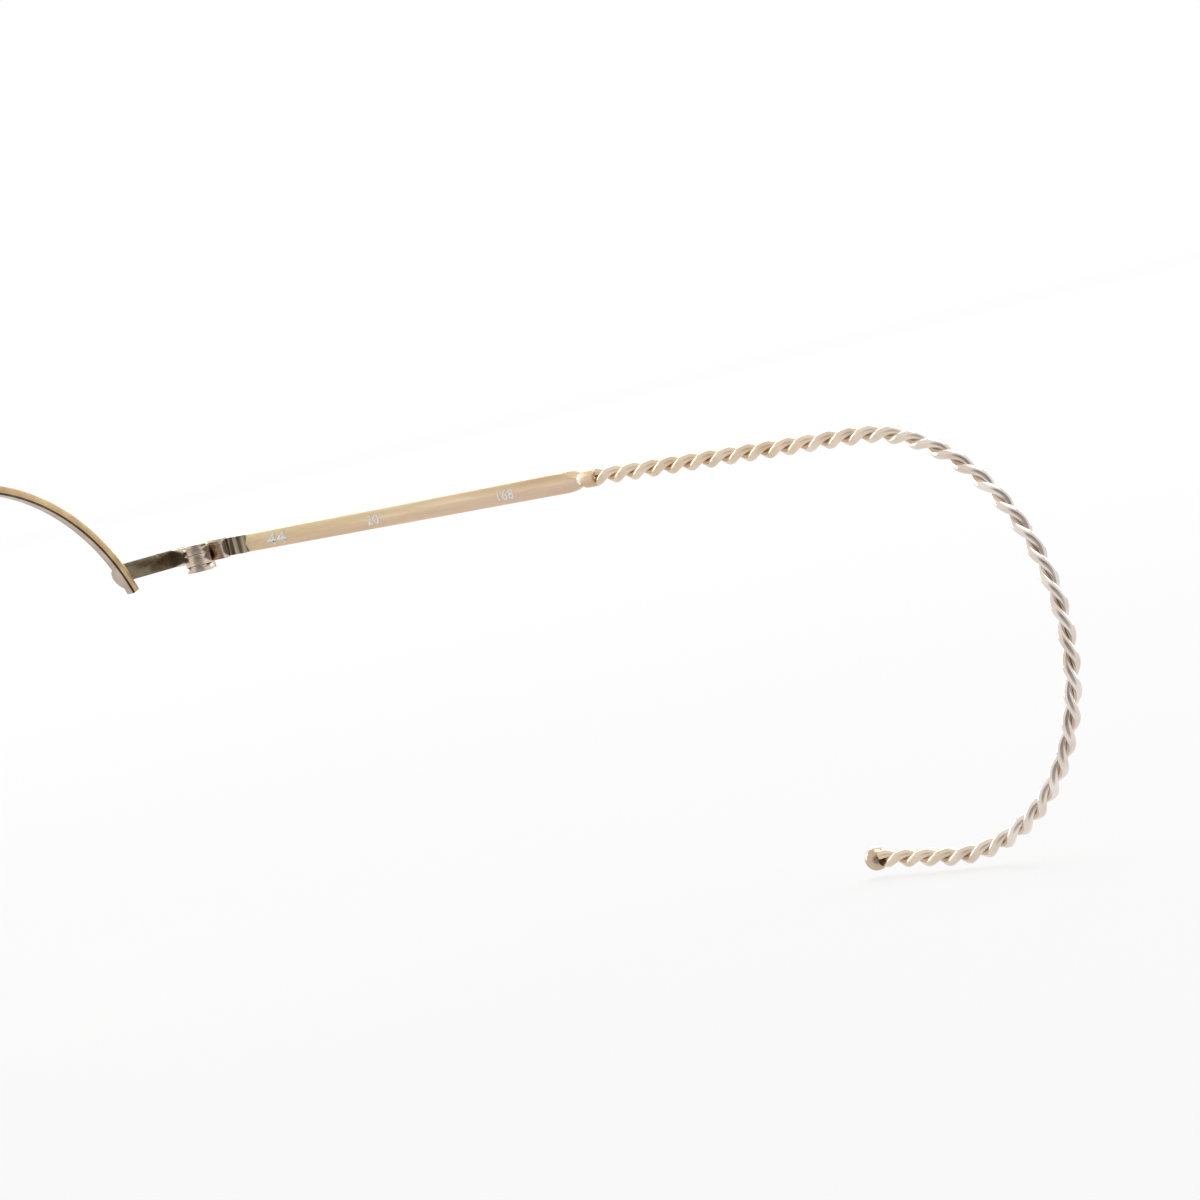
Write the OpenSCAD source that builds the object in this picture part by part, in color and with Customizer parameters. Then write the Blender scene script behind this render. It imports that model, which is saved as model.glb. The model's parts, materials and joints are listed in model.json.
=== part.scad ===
// Round flip-up eyeglasses with cable temples.
// X runs to the wearer's left, Y runs back over the ears and Z runs up.
// The origin is at the middle of the box of the whole object, on its lowest plane.
// At rest the temples are open and the flip-up front is swung up and forward.

/* [Lenses and rims] */
// Diameter of each lens
lens_d = 43.5; // [40:0.5:50]
// Distance between the two lenses at the nose
lens_gap = 20; // [17:1:24]
// Thickness of each lens
lens_t = 1.2; // [1:0.1:1.6]
// Radius of the front surface of each lens
lens_curve = 100; // [85:5:130]
// Width of the rim wire, seen from the front
rim_w = 0.9; // [0.7:0.1:1.2]
// Depth of the rim wire, front to back
rim_t = 1.2; // [0.8:0.1:1.6]
// Angle above the horizontal where a half rim ends at the temple side
rim_end_angle = 19.2; // [16:0.2:30]
// Angle where a half rim ends at the nose side
rim_nose_angle = 168; // [164:1:172]
// Depth of the V groove that holds the lens
groove_depth = 0.3; // [0.2:0.05:0.4]
// Bevel on the edges of the rim wire
rim_bevel = 0.12; // [0.05:0.01:0.2]

/* [Bridge and top bar] */
// Diameter of the bridge wire
bridge_d = 1.3; // [1:0.1:1.8]
// Height of the top of the bridge above the lens centres
bridge_top = 11; // [9:0.5:13]
// Height above the lens centres where the bridge meets the rims
bridge_foot = 6.2; // [5.5:0.1:7]
// Diameter of the top bar and of the flip bar
bar_d = 1.1; // [0.9:0.1:1.4]
// Distance of the top bar below the top of the rims
bar_drop = 4.2; // [4:0.1:6]

/* [Flip mechanism] */
// Height of the flip axis above the top of the rims
flip_rise = 2.8; // [1:0.1:4]
// Distance of the flip axis in front of the rims' middle plane
flip_fore = 1.0; // [0.8:0.1:1.4]
// Diameter of the flip pin
flip_pin_d = 1.2; // [1:0.1:1.4]
// Outer diameter of the flip knuckle
flip_knuckle_d = 2.6; // [2.4:0.1:3]
// Length of the flip knuckle
flip_knuckle_w = 3.8; // [3:0.2:6]
// Thickness of each ear of the bracket
ear_t = 0.9; // [0.6:0.1:1.4]
// Height of the bracket block on the top bar
bracket_h = 1.3; // [1:0.1:1.5]
// Depth of the bracket block, front to back
bracket_depth = 2.2; // [2:0.1:2.6]
// Thickness of the flip arm
arm_t = 0.8; // [0.6:0.1:1]
// Thickness of the leaf spring
spring_t = 0.2; // [0.15:0.05:0.3]
// Height that each stop lug stands in front of its rim
lug_h = 0.95; // [0.6:0.05:1.2]
// Length of each stop lug along its rim
lug_length = 2.5; // [1.6:0.1:3]
// Space between each stop lug and the closed front
stop_gap = 0.15; // [0.1:0.05:0.3]

/* [Ring closing block] */
// Length of the two closing blocks together
block_l = 3.2; // [2.6:0.2:4]
// Width of the closing block, outward from the ring
block_w = 1.8; // [1.6:0.1:2.4]
// Thickness of the closing block, front to back
block_t = 1.5; // [1.4:0.1:2]
// Width of the slit in the ring
ring_slit = 0.12; // [0.08:0.02:0.2]
// Diameter of the closing screw
ring_screw_d = 0.8; // [0.6:0.1:1]

/* [Endpiece and hinge] */
// Distance of the temples outboard of the rims
temple_out = 7.0; // [5:0.1:9]
// Height of the strap's middle above the end of the half rim
strap_rise = 2; // [1.6:0.02:2.6]
// Height of the strap
strap_h = 1.85; // [1.5:0.05:2.1]
// Thickness of the strap
strap_t = 0.9; // [0.7:0.1:1.1]
// Radius of the bend in the strap's middle line
strap_bend = 1.6; // [1.2:0.1:1.8]
// Distance behind the rims where the strap meets the temple
butt_y = 2.0; // [1.8:0.1:2.6]
// Distance of the hinge axis behind the rims
hinge_y = 4.2; // [4:0.1:6]
// Distance of the hinge axis inboard of the temple's middle plane
hinge_in = 2.7; // [2.5:0.1:3.2]
// Outer diameter of the hinge knuckles
knuckle_d = 2.8; // [2.5:0.1:3]
// Height of the middle knuckle
knuckle_mid = 1.1; // [0.9:0.1:1.2]
// Height of the top and the bottom knuckle
knuckle_end = 0.65; // [0.6:0.05:0.8]
// Diameter of the hinge screw
hinge_screw_d = 1.2; // [1:0.1:1.4]
// Diameter of the hinge screw's head
hinge_head_d = 2.2; // [1.7:0.1:2.3]
// Depth of the middle knuckle below the middle of the temple
knuckle_drop = 0.55; // [0.45:0.05:0.7]
// Thickness of the hinge leaves
leaf_t = 0.7; // [0.5:0.1:0.8]
// Length of the temple leaf's inner plate behind the hinge axis
leaf_l = 2.6; // [2:0.1:3.4]
// Height of the temple leaf's inner plate
leaf_h = 2.1; // [1.9:0.1:2.4]
// Length of the temple's dark front end behind the hinge axis
temple_end_l = 5.6; // [4:0.1:7]

/* [Temples] */
// Length of the temple bar behind the hinge axis
temple_bar_l = 57.6; // [48:0.2:64]
// Height of the temple bar at the front
temple_h1 = 1.85; // [1.5:0.05:2.1]
// Height of the temple bar at the back
temple_h2 = 2.05; // [1.7:0.05:2.3]
// Thickness of the temple bar
temple_t = 1.2; // [1:0.1:1.6]
// Length of the ground cone at the back end of the temple bar
temple_cone_l = 2.2; // [1.5:0.1:3]
// Diameter of the tip of that cone
temple_tip_d = 1.1; // [0.9:0.1:1.4]
// Diameter of the neck between the bar and the ferrule
neck_d = 0.8; // [0.6:0.1:1]
// Length of the neck between the bar and the ferrule
neck_l = 0.3; // [0.1:0.05:0.5]
// Length of the ferrule
ferrule_l = 2.2; // [1.5:0.1:3]
// Diameter of the twisted cable
cable_d = 1.7; // [1.4:0.1:1.8]
// Thickness of the cable between its two strands
cable_waist = 0.7; // [0.6:0.1:0.8]
// Length of half a turn of the cable's two strands
cable_bead = 2.64; // [2.4:0.04:3]
// Length of the temple from the hinge axis to the middle of the ear curl
temple_run_l = 95; // [86:0.5:104]
// Radius of the ear curl's middle line
curl_r = 19.6; // [17:0.2:22]
// Angle through which the ear curl turns
curl_turn = 182; // [170:0.5:190]
// Angle by which the straight cable dips below the line of the bar
cable_dip = 1.1; // [0:0.1:3]
// Straight length of cable after the curl
cable_tail = 8.2; // [6:0.2:14]
// Diameter of the ball tip
ball_d = 2.25; // [2:0.05:2.6]

/* [Nose pads] */
// Distance between the two pads' contact faces at their middles
pad_gap = 17.2; // [15:0.2:20]
// Distance of the pads' contact faces behind the rims
pad_back = 6.5; // [6:0.1:8]
// Depth of the pads' middles below the lens centres
pad_drop = 1.0; // [0:0.2:3]
// Length of each pad
pad_l = 13; // [11:0.5:15]
// Width of each pad
pad_w = 7.5; // [6.5:0.5:8.5]
// Thickness of each pad
pad_t = 1.8; // [1.4:0.1:2.4]
// Lean of each pad seen from the front
pad_lean = 20; // [15:1:25]
// Turn of each pad seen from above
pad_turn = 25; // [20:1:30]
// Diameter of the pad arm wire
pad_wire_d = 0.9; // [0.8:0.1:1.1]
// Diameter of the pad screw
pad_screw_d = 0.7; // [0.6:0.1:0.8]

/* [Clearances] */
// Radial clearance of a pin or screw in a part that turns on it
run_clear = 0.04; // [0.03:0.01:0.08]
// Radial clearance of a pin or screw in a part that it is fixed in
fix_clear = 0.01; // [0.01:0.005:0.02]
// Space between the end faces of parts that turn against each other
face_clear = 0.05; // [0.03:0.01:0.1]
// Space between the butting ends of the strap and the temple
butt_clear = 0.08; // [0.05:0.01:0.15]

/* [Hidden] */
$fn = 64;
GOLD = [0.78, 0.66, 0.48];
DARK_GOLD = [0.42, 0.36, 0.26];
STEEL = [0.72, 0.72, 0.74];
GLASS = [0.75, 0.85, 0.9, 0.4];
SILICONE = [0.9, 0.92, 0.93, 0.7];
LEFT = 1;
RIGHT = -1;
far = 200;

// Rims
lens_x = (lens_d + lens_gap) / 2;
rim_in = lens_d / 2;
rim_out = rim_in + rim_w;
rim_mid = rim_in + rim_w / 2;
bar_z = rim_out - bar_drop;

// Flip-up front, given for the closed position and then swung up for rest
flip_y = -flip_fore;
flip_z = rim_out + flip_rise;
ring_y = -(rim_t / 2 + lug_h + stop_gap + rim_t / 2);
flip_up_angle = 90;
knuckle_r = flip_knuckle_d / 2;
ear_in = flip_knuckle_w / 2 + face_clear;
ear_out = ear_in + ear_t;
block_top = bar_z + bar_d / 2 + bracket_h;
flip_head_r = flip_pin_d / 2 + 0.4;
flip_head_t = 0.4;

// Ring closing block
block_x = rim_out + block_w / 2;
block_half = block_l / 2;
ring_head_r = ring_screw_d / 2 + 0.3;
ring_head_t = 0.4;

// Temples, endpiece and hinge
temple_x = lens_x + rim_out + temple_out;
hinge_x = temple_x - hinge_in;
hinge_z = rim_out * sin(rim_end_angle) + strap_rise;
knuckle_top = knuckle_mid / 2 + face_clear + knuckle_end;
knuckle_z = hinge_z - knuckle_drop;
hinge_head_t = 0.35;
temple_in_x = temple_x - temple_t / 2;
bar_end_y = hinge_y + temple_bar_l;
ferrule_y = bar_end_y + neck_l;
cable_y = ferrule_y + ferrule_l;
curl_y = hinge_y + temple_run_l;
cable_r = cable_d / 2;
straight_l = (curl_y + curl_r * sin(cable_dip) - cable_y) / cos(cable_dip);
curl_z = hinge_z - straight_l * sin(cable_dip) - curl_r * cos(cable_dip);
arc_l = curl_r * curl_turn * PI / 180;
cable_l = straight_l + arc_l + cable_tail;
cable_sides = 8;
cable_rings_per_bead = 5;

// Nose pads. The local frame of a pad has its origin on the pad screw, -X to the nose,
// Y along the screw and Z up along the pad.
pad_reach = 3.4;
box_in = 0.5;
box_wall = 0.45;
box_out = box_in + face_clear + box_wall;
pad_head_t = 0.3;
// Direction from the pad screw to the contact face of the left pad
pad_normal = [-cos(pad_lean) * cos(pad_turn), cos(pad_lean) * sin(pad_turn), -sin(pad_lean)];
pad_face = [pad_gap / 2, pad_back, -pad_drop];
pad_pivot = pad_face - pad_reach * pad_normal;
// Directions of the pad screw and of the pad's long axis
pad_axis = [sin(pad_turn), cos(pad_turn), 0];
pad_up = [-sin(pad_lean) * cos(pad_turn), sin(pad_lean) * sin(pad_turn), cos(pad_lean)];

// Place of the object's frame: lowest plane at zero, middle of its length at zero
front_y = flip_y - flip_z - rim_out;
rear_y = max([for (p = cable_points(1)) p[1]]);
base_z = min([for (p = cable_points(1)) p[2]]);
shift_y = -(front_y + rear_y) / 2;
shift_z = -base_z;

// Frames

// From the frame at the lens centres to the object's own frame
module placed() {
    translate([0, shift_y, shift_z])
        children();
}

// One side of the glasses: children are drawn for the wearer's left side
module side(s) {
    if (s > 0)
        placed() children();
    else
        mirror([1, 0, 0]) placed() children();
}

// The flip-up front at rest: children are drawn for the closed position
module flipped() {
    translate([0, flip_y, flip_z])
        rotate([-flip_up_angle, 0, 0])
            translate([0, -flip_y, -flip_z])
                children();
}

// Turned so that local Z points to the front
module to_front() {
    rotate([90, 0, 0])
        children();
}

// The frame of the left pad, on its screw
module at_pad() {
    translate(pad_pivot)
        rotate([0, 0, -pad_turn])
            rotate([0, -pad_lean, 0])
                children();
}

// The frame of the left temple: origin on the bar's middle line, beside the hinge axis
module at_temple() {
    translate([temple_x, hinge_y, hinge_z])
        children();
}

// Shared shapes

// Section of the rim wire, radius along X and depth along Y
module rim_section() {
    w = rim_w / 2;
    t = rim_t / 2;
    b = rim_bevel;
    translate([rim_mid, 0])
        polygon([
            [-w, -t + b], [-w + b, -t], [w - b, -t], [w, -t + b],
            [w, t - b], [w - b, t], [-w + b, t], [-w, t - b]
        ]);
}

// Everything inside the outer face of both rims, at any depth
module inside_rims(depth) {
    for (s = [LEFT, RIGHT])
        translate([s * lens_x, 0, 0])
            rotate([90, 0, 0])
                cylinder(r = rim_out, h = depth, center = true, $fn = 180);
}

// A rod along X, centred
module rod_x(r, l) {
    rotate([0, 90, 0])
        cylinder(r = r, h = l, center = true);
}

// A rod along Y, centred
module rod_y(r, l) {
    rotate([90, 0, 0])
        cylinder(r = r, h = l, center = true);
}

// Points on a smooth curve through the control points p
function curve_point(p, i, t) =
    let (
        a = p[max(i - 1, 0)],
        b = p[i],
        c = p[i + 1],
        d = p[min(i + 2, len(p) - 1)]
    )
    0.5 * (2 * b + (c - a) * t + (2 * a - 5 * b + 4 * c - d) * t * t
        + (3 * b - a - 3 * c + d) * t * t * t);
function curve(p, steps) = [
    for (i = [0 : len(p) - 2])
        for (k = [0 : steps - (i == len(p) - 2 ? 0 : 1)])
            curve_point(p, i, k / steps)
];
function unit(v) = v / norm(v);
function tangent(c, i) = unit(c[min(i + 1, len(c) - 1)] - c[max(i - 1, 0)]);

// A closed skin over rings of n points each, with a flat cap at either end. The edges that
// cross its sides follow a left-handed lay, or with lay 1 a right-handed one.
module skin(points, n, lay = -1) {
    m = len(points) / n;
    sides = [
        for (i = [0 : m - 2])
            for (j = [0 : n - 1])
                let (
                    a = i * n + j,
                    b = i * n + (j + 1) % n,
                    d = a + n,
                    e = b + n
                )
                    each lay < 0 ? [[a, d, e], [a, e, b]] : [[a, d, b], [b, d, e]]
    ];
    start = [for (j = [0 : n - 1]) j];
    end = [for (j = [n - 1 : -1 : 0]) (m - 1) * n + j];
    polyhedron(points = points, faces = concat(sides, [start, end]), convexity = 6);
}

// A round wire along the curve c, with n sides. No part of the curve runs along X.
module wire(c, r, n) {
    points = [
        for (i = [0 : len(c) - 1])
            let (t = tangent(c, i), u = unit(cross(t, [1, 0, 0])), v = cross(t, u))
                for (j = [0 : n - 1])
                    c[i] + r * (cos(360 * j / n) * u + sin(360 * j / n) * v)
    ];
    skin(points, n);
}

// Half rims and what is soldered to them

module half_rim(s) {
    color(GOLD)
        side(s)
            translate([lens_x, 0, 0])
                to_front()
                    rotate([0, 0, rim_end_angle])
                        rotate_extrude(angle = rim_nose_angle - rim_end_angle, $fn = 180)
                            rim_section();
}

// A low rounded hump on the front of the rim, just above the rim's end
module stop_lug(s) {
    hump_r = (lug_length * lug_length / 4 + lug_h * lug_h) / (2 * lug_h);
    end_space = 0.6;
    lug_angle = rim_end_angle + (end_space + lug_length / 2) / rim_mid * 180 / PI;
    color(GOLD)
        side(s)
            translate([lens_x, -rim_t / 2, 0])
                rotate([0, -lug_angle, 0])
                    translate([rim_mid, 0, 0])
                        intersection() {
                            translate([0, hump_r - lug_h, 0])
                                rod_x(hump_r, rim_w - 2 * rim_bevel);
                            translate([-rim_w, -2 * lug_h, -lug_length])
                                cube([2 * rim_w, 2 * lug_h, 2 * lug_length]);
                        }
}

module bridge() {
    half_span = lens_x - sqrt(rim_out * rim_out - bridge_foot * bridge_foot);
    rise = bridge_top - bridge_foot;
    arch_r = (half_span * half_span + rise * rise) / (2 * rise);
    arch_z = bridge_top - arch_r;
    foot_angle = atan2(bridge_foot - arch_z, half_span);
    overrun = 8;
    color(GOLD)
        placed()
            difference() {
                translate([0, 0, arch_z])
                    to_front()
                        rotate([0, 0, foot_angle - overrun])
                            rotate_extrude(angle = 180 - 2 * (foot_angle - overrun), $fn = 96)
                                translate([arch_r, 0])
                                    circle(d = bridge_d, $fn = 32);
                inside_rims(4 * bridge_d);
            }
}

// A rod between the rims at the height of the top bar
module bar_between_rims() {
    difference() {
        translate([0, 0, bar_z])
            rod_x(bar_d / 2, 2 * lens_x);
        inside_rims(4 * bar_d);
    }
}

module top_bar() {
    color(GOLD)
        placed()
            bar_between_rims();
}

// Flip mechanism on the frame

// A block on the top bar with two ears that hold the flip pin
module flip_bracket() {
    block_foot = bar_z;
    color(DARK_GOLD)
        placed()
            difference() {
                union() {
                    translate([-ear_out, -bracket_depth / 2, block_foot])
                        cube([2 * ear_out, bracket_depth, block_top - block_foot]);
                    for (s = [LEFT, RIGHT])
                        translate([s * (ear_in + ear_t / 2), 0, 0])
                            bracket_ear();
                }
                translate([0, 0, bar_z])
                    rod_x(bar_d / 2, 3 * ear_out);
                translate([0, flip_y, flip_z])
                    rod_x(flip_pin_d / 2 + fix_clear, 3 * ear_out);
            }
}

module bracket_ear() {
    ear_foot = block_top - bracket_h / 2;
    translate([0, flip_y, flip_z])
        rod_x(knuckle_r, ear_t);
    translate([-ear_t / 2, flip_y - knuckle_r, ear_foot])
        cube([ear_t, 2 * knuckle_r, flip_z - ear_foot]);
}

module flip_pin() {
    shank = 2 * (ear_out + face_clear);
    color(STEEL)
        placed()
            translate([0, flip_y, flip_z]) {
                rod_x(flip_pin_d / 2, shank);
                for (s = [LEFT, RIGHT])
                    translate([s * (shank + flip_head_t) / 2, 0, 0])
                        rod_x(flip_head_r, flip_head_t);
            }
}

// A leaf that stands on the bracket block and bears on the back of the flip knuckle
module flip_spring() {
    leaf_y = flip_y + knuckle_r + face_clear;
    leaf_w = 2 * ear_in - 2 * face_clear;
    color(STEEL)
        placed()
            translate([-leaf_w / 2, leaf_y, block_top])
                cube([leaf_w, spring_t, flip_z - block_top + knuckle_r / 2]);
}

// Flip-up front

module flip_knuckle() {
    arm_w = flip_knuckle_w * 0.8;
    color(DARK_GOLD)
        placed() flipped()
            difference() {
                union() {
                    translate([0, flip_y, flip_z])
                        rod_x(knuckle_r, flip_knuckle_w);
                    translate([-arm_w / 2, flip_y - knuckle_r, bar_z])
                        cube([arm_w, arm_t, flip_z - bar_z]);
                }
                translate([0, flip_y, flip_z])
                    rod_x(flip_pin_d / 2 + run_clear, 2 * flip_knuckle_w);
                translate([0, ring_y, bar_z])
                    rod_x(bar_d / 2, 2 * flip_knuckle_w);
            }
}

module flip_bar() {
    color(GOLD)
        placed() flipped()
            translate([0, ring_y, 0])
                bar_between_rims();
}

// The V shape that the lens edge and the groove share, at radius r
module bevel_ring(r, depth) {
    rotate_extrude($fn = 180)
        polygon([[0, -depth], [r, -depth], [r + depth, 0], [r, depth], [0, depth]]);
}

// One full ring with its lens groove and the slit at its temple side
module ring(s) {
    color(GOLD)
        side(s) flipped()
            translate([lens_x, ring_y, 0])
                to_front()
                    difference() {
                        rotate_extrude($fn = 180)
                            rim_section();
                        bevel_ring(rim_in, groove_depth);
                        translate([rim_mid, 0, 0])
                            cube([2 * rim_w, ring_slit, 2 * rim_t], center = true);
                    }
}

// Two small blocks on the ring, one on each side of the slit
module ring_block(s) {
    block_in = sqrt(rim_out * rim_out - block_half * block_half) - rim_w;
    color(DARK_GOLD)
        side(s) flipped()
            translate([lens_x, ring_y, 0])
                to_front()
                    difference() {
                        translate([block_in, -block_half, -block_t / 2])
                            cube([rim_out + block_w - block_in, block_l, block_t]);
                        cylinder(r = rim_out, h = 2 * block_t, center = true, $fn = 180);
                        cube([far, ring_slit, far], center = true);
                        translate([block_x, 0, 0])
                            rod_y(ring_screw_d / 2 + fix_clear, 2 * block_l);
                    }
}

module ring_screw(s) {
    color(STEEL)
        side(s) flipped()
            translate([lens_x + block_x, ring_y, 0])
                to_front() {
                    rod_y(ring_screw_d / 2, block_l);
                    translate([0, -(block_l + ring_head_t) / 2, 0])
                        rod_y(ring_head_r, ring_head_t);
                }
}

// A meniscus lens whose bevelled edge sits in the groove
module lens(s) {
    edge_r = rim_in - 2 * face_clear;
    edge_sag = lens_curve - sqrt(lens_curve * lens_curve - rim_in * rim_in);
    apex = edge_sag + lens_t / 2;
    color(GLASS)
        side(s) flipped()
            translate([lens_x, ring_y, 0])
                to_front()
                    intersection() {
                        difference() {
                            translate([0, 0, apex - lens_curve])
                                sphere(r = lens_curve, $fn = 180);
                            translate([0, 0, apex - lens_curve])
                                sphere(r = lens_curve - lens_t, $fn = 180);
                        }
                        union() {
                            bevel_ring(edge_r, groove_depth);
                            translate([0, 0, -apex])
                                cylinder(r = edge_r, h = 3 * apex, $fn = 180);
                        }
                    }
}

// Endpieces and hinges

// A strap that leaves the rim sideways and bends back to the temple
module endpiece(s) {
    strap_start = lens_x + sqrt(rim_out * rim_out - hinge_z * hinge_z) - 2 * rim_w;
    bend_x = temple_x - strap_bend;
    notch_x = bend_x - 2 * strap_bend;
    notch_w = 0.4;
    notch_h = 0.2;
    color(DARK_GOLD)
        side(s)
            difference() {
                translate([0, 0, hinge_z - strap_h / 2]) {
                    translate([strap_start, -strap_t / 2, 0])
                        cube([bend_x - strap_start, strap_t, strap_h]);
                    translate([bend_x, strap_bend, 0])
                        rotate([0, 0, -90])
                            rotate_extrude(angle = 90)
                                translate([strap_bend - strap_t / 2, 0])
                                    square([strap_t, strap_h]);
                    translate([temple_x - strap_t / 2, strap_bend, 0])
                        cube([strap_t, butt_y - strap_bend, strap_h]);
                }
                inside_rims(4 * strap_t);
                translate([notch_x, 0, hinge_z + strap_h / 2])
                    cube([notch_w, 2 * strap_t, 2 * notch_h], center = true);
            }
}

// Middle knuckle on a leaf that is soldered inside the strap's bend
module front_leaf(s) {
    leaf_front = strap_t / 2;
    leaf_low = -strap_h / 2;
    knuckle_low = -knuckle_drop - knuckle_mid / 2;
    // The leaf stops short of the temple's knuckles
    leaf_back = hinge_y - knuckle_d / 2 - face_clear;
    color(DARK_GOLD)
        side(s)
            translate([hinge_x, 0, hinge_z])
                difference() {
                    union() {
                        translate([0, hinge_y, knuckle_low])
                            cylinder(d = knuckle_d, h = knuckle_mid);
                        translate([-leaf_t / 2, leaf_front, leaf_low])
                            cube([leaf_t, leaf_back - leaf_front, strap_h]);
                        translate([-leaf_t / 2, leaf_front, leaf_low])
                            cube([leaf_t, hinge_y - leaf_front, knuckle_low + knuckle_mid - leaf_low]);
                    }
                    translate([0, hinge_y, knuckle_low])
                        cylinder(d = hinge_screw_d + 2 * run_clear, h = 3 * knuckle_mid, center = true);
                }
}

// The temple's front end, with an inner plate that carries the top and bottom knuckles
module temple_leaf(s) {
    plate_x = temple_in_x - leaf_t;
    end_front = butt_y + butt_clear;
    // Webs, hidden in front of the hinge axis
    web_l = 1;
    // Room for the middle knuckle as the temple folds
    pocket_r = knuckle_d / 2 + face_clear;
    color(DARK_GOLD)
        side(s)
            difference() {
                union() {
                    translate([temple_in_x, end_front, hinge_z - temple_h1 / 2])
                        cube([temple_t, hinge_y + temple_end_l - end_front, temple_h1]);
                    translate([plate_x, hinge_y - web_l, hinge_z - leaf_h / 2])
                        cube([leaf_t, web_l + leaf_l, leaf_h]);
                    translate([plate_x, hinge_y - web_l, knuckle_z - knuckle_top])
                        cube([leaf_t, web_l, knuckle_drop + knuckle_top]);
                    translate([0, 0, knuckle_z])
                        for (m = [0, 1])
                            mirror([0, 0, m])
                                translate([hinge_x, hinge_y, knuckle_mid / 2 + face_clear]) {
                                    cylinder(d = knuckle_d, h = knuckle_end);
                                    translate([0, -web_l, 0])
                                        cube([temple_in_x - hinge_x, web_l, knuckle_end]);
                                }
                }
                translate([hinge_x, hinge_y, knuckle_z]) {
                    cylinder(d = hinge_screw_d + 2 * fix_clear, h = 4 * knuckle_top, center = true);
                    cylinder(r = pocket_r, h = knuckle_mid + 2 * face_clear, center = true);
                }
            }
}

// Head on the top knuckle, shank through all three
module hinge_screw(s) {
    slot_w = 0.3;
    slot_depth = 0.2;
    color(STEEL)
        side(s)
            translate([hinge_x, hinge_y, knuckle_z])
                difference() {
                    union() {
                        translate([0, 0, -knuckle_top])
                            cylinder(d = hinge_screw_d, h = 2 * knuckle_top);
                        translate([0, 0, knuckle_top])
                            cylinder(d = hinge_head_d, h = hinge_head_t);
                    }
                    translate([0, 0, knuckle_top + hinge_head_t])
                        cube([2 * hinge_head_d, slot_w, 2 * slot_depth], center = true);
                }
}

// Temples

// A flat bar with a ridge along its faces, higher at the back, with a ground back end
module temple_bar(s) {
    front = temple_end_l;
    length = temple_bar_l - front;
    ridge_t = temple_t / 2;
    edge_t = temple_t * 0.34;
    color(GOLD)
        side(s)
            at_temple()
                intersection() {
                    // Side view, extruded through the thickness
                    rotate([90, 0, 90])
                        linear_extrude(height = 2 * temple_t, center = true)
                            polygon([
                                [front, -temple_h1 / 2], [temple_bar_l, -temple_h2 / 2],
                                [temple_bar_l, temple_h2 / 2], [front, temple_h1 / 2]
                            ]);
                    // Section, extruded along the length
                    translate([0, temple_bar_l, 0])
                        rotate([90, 0, 0])
                            linear_extrude(height = length)
                                polygon([
                                    [-ridge_t, 0], [-edge_t, -temple_h2 / 2], [edge_t, -temple_h2 / 2],
                                    [ridge_t, 0], [edge_t, temple_h2 / 2], [-edge_t, temple_h2 / 2]
                                ]);
                    // Ground cone at the back end
                    rotate([-90, 0, 0])
                        rotate_extrude()
                            polygon([
                                [0, front], [temple_h2, front], [temple_h2, temple_bar_l - temple_cone_l],
                                [temple_h2 / 2, temple_bar_l - temple_cone_l],
                                [temple_tip_d / 2, temple_bar_l], [0, temple_bar_l]
                            ]);
                }
}

// A thin neck and a short sleeve with a rounded start
module cable_ferrule(s) {
    round_l = ferrule_l / 4;
    color(GOLD)
        side(s)
            translate([temple_x, bar_end_y, hinge_z])
                rotate([-90, 0, 0])
                    rotate_extrude()
                        polygon([
                            [0, 0], [neck_d / 2, 0], [neck_d / 2, neck_l],
                            [cable_r * 0.7, neck_l + round_l * 0.3],
                            [cable_r, neck_l + round_l], [cable_r, neck_l + ferrule_l],
                            [0, neck_l + ferrule_l]
                        ]);
}

// Angle of the cable's middle line below straight back, at the distance q along it
function cable_turn(q) =
    cable_dip + max(min(q - straight_l, arc_l), 0) / curl_r * 180 / PI;

// Point on the left cable's middle line at the distance q along it
function cable_middle(q) =
    let (
        a = cable_turn(q),
        // Distance before (negative) or after the curl
        off = q < straight_l ? q - straight_l : max(q - straight_l - arc_l, 0)
    )
    [
        temple_x,
        curl_y + curl_r * sin(a) + off * cos(a),
        curl_z + curl_r * cos(a) - off * sin(a)
    ];

// Rings of eight points round the cable: two strands that turn about each other.
// With lay 1 they turn right-handed and with lay -1 left-handed.
function cable_points(lay) =
    let (steps = ceil(cable_l / cable_bead * cable_rings_per_bead))
    [
        for (i = [0 : steps])
            let (
                q = cable_l * i / steps,
                a = cable_turn(q),
                twist = lay * 180 * q / cable_bead,
                outward = [0, sin(a), cos(a)]
            )
                for (j = [0 : cable_sides - 1])
                    let (
                        f = 360 * j / cable_sides,
                        r = cable_waist / 2 + (cable_r - cable_waist / 2) * cos(f) * cos(f)
                    )
                        cable_middle(q) + r * (cos(f + twist) * outward + sin(f + twist) * [1, 0, 0])
    ];

// The whole run of the cable, straight, round the ear and forward to the tip.
// Both cables are wound left-handed, and the right one is drawn mirrored.
module cable(s) {
    color(GOLD)
        side(s)
            skin(cable_points(-s), cable_sides, -s);
}

// A ball with a socket for the end of the cable
module ball_tip(s) {
    socket = 0.2;
    color(DARK_GOLD)
        side(s)
            translate(cable_middle(cable_l))
                rotate([-cable_turn(cable_l), 0, 0])
                    difference() {
                        translate([0, ball_d / 2 - socket, 0])
                            sphere(d = ball_d, $fn = 48);
                        translate([0, -ball_d, 0])
                            rotate([-90, 0, 0])
                                cylinder(r = cable_r, h = ball_d, $fn = 32);
                    }
}

// Nose pads

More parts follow.
